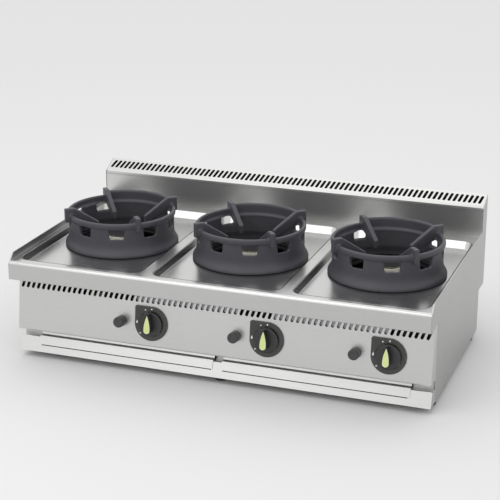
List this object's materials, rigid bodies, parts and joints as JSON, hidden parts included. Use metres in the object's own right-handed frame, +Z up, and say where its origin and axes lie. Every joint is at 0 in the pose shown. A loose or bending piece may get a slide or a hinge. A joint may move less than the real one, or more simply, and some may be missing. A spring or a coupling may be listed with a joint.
{
  "type": "wok range",
  "caption": "Bench-top gas wok range: folded steel casing with pressed wells, cast wok rings, slotted flue, tilted control panel and pull-out drip trays.",
  "frame": {"origin": "on the ground under the middle of the footprint", "axes": "+X to the user's right, +Y towards the flue, +Z up"},
  "size_m": [1.2, 0.7, 0.418],
  "materials": {
    "steel_top": "satin brushed stainless steel",
    "steel_casing": "brushed stainless steel",
    "steel_front": "brushed stainless steel",
    "steel_tray": "brushed stainless steel",
    "galvanised_steel": "dull zinc-coated steel",
    "zinc_pipe": "zinc-coated pipe",
    "brass_fittings": "turned brass",
    "pilot_metal": "heat-worn steel",
    "dial_black": "satin black plastic",
    "igniter_black": "matt black plastic",
    "burner_iron": "machined and polished cast head",
    "burner_cap_steel": "heat-worn steel",
    "spindle_steel": "turned steel",
    "knob_black": "satin black plastic",
    "pointer_green": "pale yellow-green plastic",
    "button_black": "matt black plastic",
    "ring_iron": "matt charcoal enamel on casting",
    "foot_black": "matt black plastic"
  },
  "bodies": {
    "casing": {"hob_top": "steel_top", "well_pan_1": "steel_top", "well_pan_2": "steel_top", "well_pan_3": "steel_top", "splashback": "steel_casing", "flue_grille": "steel_casing", "flue_cheek_left": "steel_casing", "flue_cheek_right": "steel_casing", "flue_back": "steel_casing", "back_panel": "galvanised_steel", "side_panel_left": "steel_casing", "side_panel_right": "steel_casing", "control_panel": "steel_front", "plinth": "steel_front", "front_crossmember": "galvanised_steel", "base_plate": "galvanised_steel", "burner_rails": "galvanised_steel", "gas_manifold": "zinc_pipe", "heat_shield": "galvanised_steel", "tray_runners": "galvanised_steel", "burner_pipes": "brass_fittings", "pilot_units": "pilot_metal", "dial_plates": "dial_black", "igniter_bodies": "igniter_black", "burner_body_1": "burner_iron", "burner_body_2": "burner_iron", "burner_body_3": "burner_iron", "gas_valve_1": "brass_fittings", "gas_valve_2": "brass_fittings", "gas_valve_3": "brass_fittings"},
    "wok_ring_1_lift": {"wok_ring_1": "ring_iron"},
    "burner_cap_1_lift": {"burner_cap_1": "burner_cap_steel"},
    "valve_1_plug": {"valve_plug_1": "brass_fittings"},
    "knob_1_set": {"knob_1": "knob_black", "knob_pointer_1": "pointer_green", "valve_spindle_1": "spindle_steel"},
    "igniter_1_button": {"igniter_button_1": "button_black"},
    "wok_ring_2_lift": {"wok_ring_2": "ring_iron"},
    "burner_cap_2_lift": {"burner_cap_2": "burner_cap_steel"},
    "valve_2_plug": {"valve_plug_2": "brass_fittings"},
    "knob_2_set": {"knob_2": "knob_black", "knob_pointer_2": "pointer_green", "valve_spindle_2": "spindle_steel"},
    "igniter_2_button": {"igniter_button_2": "button_black"},
    "wok_ring_3_lift": {"wok_ring_3": "ring_iron"},
    "burner_cap_3_lift": {"burner_cap_3": "burner_cap_steel"},
    "valve_3_plug": {"valve_plug_3": "brass_fittings"},
    "knob_3_set": {"knob_3": "knob_black", "knob_pointer_3": "pointer_green", "valve_spindle_3": "spindle_steel"},
    "igniter_3_button": {"igniter_button_3": "button_black"},
    "tray_left": {"drip_tray_left": "steel_tray"},
    "tray_right": {"drip_tray_right": "steel_tray"},
    "foot_1_screw": {"foot_1": "foot_black"},
    "foot_2_screw": {"foot_2": "foot_black"},
    "foot_3_screw": {"foot_3": "foot_black"},
    "foot_4_screw": {"foot_4": "foot_black"},
    "foot_5_screw": {"foot_5": "foot_black"},
    "foot_6_screw": {"foot_6": "foot_black"}
  },
  "joints": [
    {"name": "wok_ring_1_lift", "type": "slide", "parent": "casing", "child": "wok_ring_1_lift", "axis": [0, 0, 1], "range_m": [0, 0.15]},
    {"name": "burner_cap_1_lift", "type": "slide", "parent": "casing", "child": "burner_cap_1_lift", "axis": [0, 0, 1], "range_m": [0, 0.12]},
    {"name": "valve_1_turn", "type": "hinge", "parent": "casing", "child": "valve_1_plug", "pos_m": [-0.19, -0.26447, 0.146], "axis": [0, -0.9914, 0.1305], "range_deg": [0, 135]},
    {"name": "knob_1_push", "type": "slide", "parent": "valve_1_plug", "child": "knob_1_set", "axis": [0, 0.9914, -0.1305], "range_m": [0, 0.005], "stiffness_N_per_m": 600, "springref_m": -0.005},
    {"name": "igniter_1_press", "type": "slide", "parent": "casing", "child": "igniter_1_button", "axis": [0, 0.9914, -0.1305], "range_m": [0, 0.006], "stiffness_N_per_m": 900, "springref_m": -0.004},
    {"name": "wok_ring_2_lift", "type": "slide", "parent": "casing", "child": "wok_ring_2_lift", "axis": [0, 0, 1], "range_m": [0, 0.15]},
    {"name": "burner_cap_2_lift", "type": "slide", "parent": "casing", "child": "burner_cap_2_lift", "axis": [0, 0, 1], "range_m": [0, 0.12]},
    {"name": "valve_2_turn", "type": "hinge", "parent": "casing", "child": "valve_2_plug", "pos_m": [0.1455, -0.26447, 0.146], "axis": [0, -0.9914, 0.1305], "range_deg": [0, 135]},
    {"name": "knob_2_push", "type": "slide", "parent": "valve_2_plug", "child": "knob_2_set", "axis": [0, 0.9914, -0.1305], "range_m": [0, 0.005], "stiffness_N_per_m": 600, "springref_m": -0.005},
    {"name": "igniter_2_press", "type": "slide", "parent": "casing", "child": "igniter_2_button", "axis": [0, 0.9914, -0.1305], "range_m": [0, 0.006], "stiffness_N_per_m": 900, "springref_m": -0.004},
    {"name": "wok_ring_3_lift", "type": "slide", "parent": "casing", "child": "wok_ring_3_lift", "axis": [0, 0, 1], "range_m": [0, 0.15]},
    {"name": "burner_cap_3_lift", "type": "slide", "parent": "casing", "child": "burner_cap_3_lift", "axis": [0, 0, 1], "range_m": [0, 0.12]},
    {"name": "valve_3_turn", "type": "hinge", "parent": "casing", "child": "valve_3_plug", "pos_m": [0.481, -0.26447, 0.146], "axis": [0, -0.9914, 0.1305], "range_deg": [0, 135]},
    {"name": "knob_3_push", "type": "slide", "parent": "valve_3_plug", "child": "knob_3_set", "axis": [0, 0.9914, -0.1305], "range_m": [0, 0.005], "stiffness_N_per_m": 600, "springref_m": -0.005},
    {"name": "igniter_3_press", "type": "slide", "parent": "casing", "child": "igniter_3_button", "axis": [0, 0.9914, -0.1305], "range_m": [0, 0.006], "stiffness_N_per_m": 900, "springref_m": -0.004},
    {"name": "drip_tray_left_pull", "type": "slide", "parent": "casing", "child": "tray_left", "axis": [0, -1, 0], "range_m": [0, 0.45]},
    {"name": "drip_tray_right_pull", "type": "slide", "parent": "casing", "child": "tray_right", "axis": [0, -1, 0], "range_m": [0, 0.45]},
    {"name": "foot_1_level", "type": "slide", "parent": "casing", "child": "foot_1_screw", "axis": [0, 0, -1], "range_m": [0, 0.015]},
    {"name": "foot_2_level", "type": "slide", "parent": "casing", "child": "foot_2_screw", "axis": [0, 0, -1], "range_m": [0, 0.015]},
    {"name": "foot_3_level", "type": "slide", "parent": "casing", "child": "foot_3_screw", "axis": [0, 0, -1], "range_m": [0, 0.015]},
    {"name": "foot_4_level", "type": "slide", "parent": "casing", "child": "foot_4_screw", "axis": [0, 0, -1], "range_m": [0, 0.015]},
    {"name": "foot_5_level", "type": "slide", "parent": "casing", "child": "foot_5_screw", "axis": [0, 0, -1], "range_m": [0, 0.015]},
    {"name": "foot_6_level", "type": "slide", "parent": "casing", "child": "foot_6_screw", "axis": [0, 0, -1], "range_m": [0, 0.015]}
  ]
}
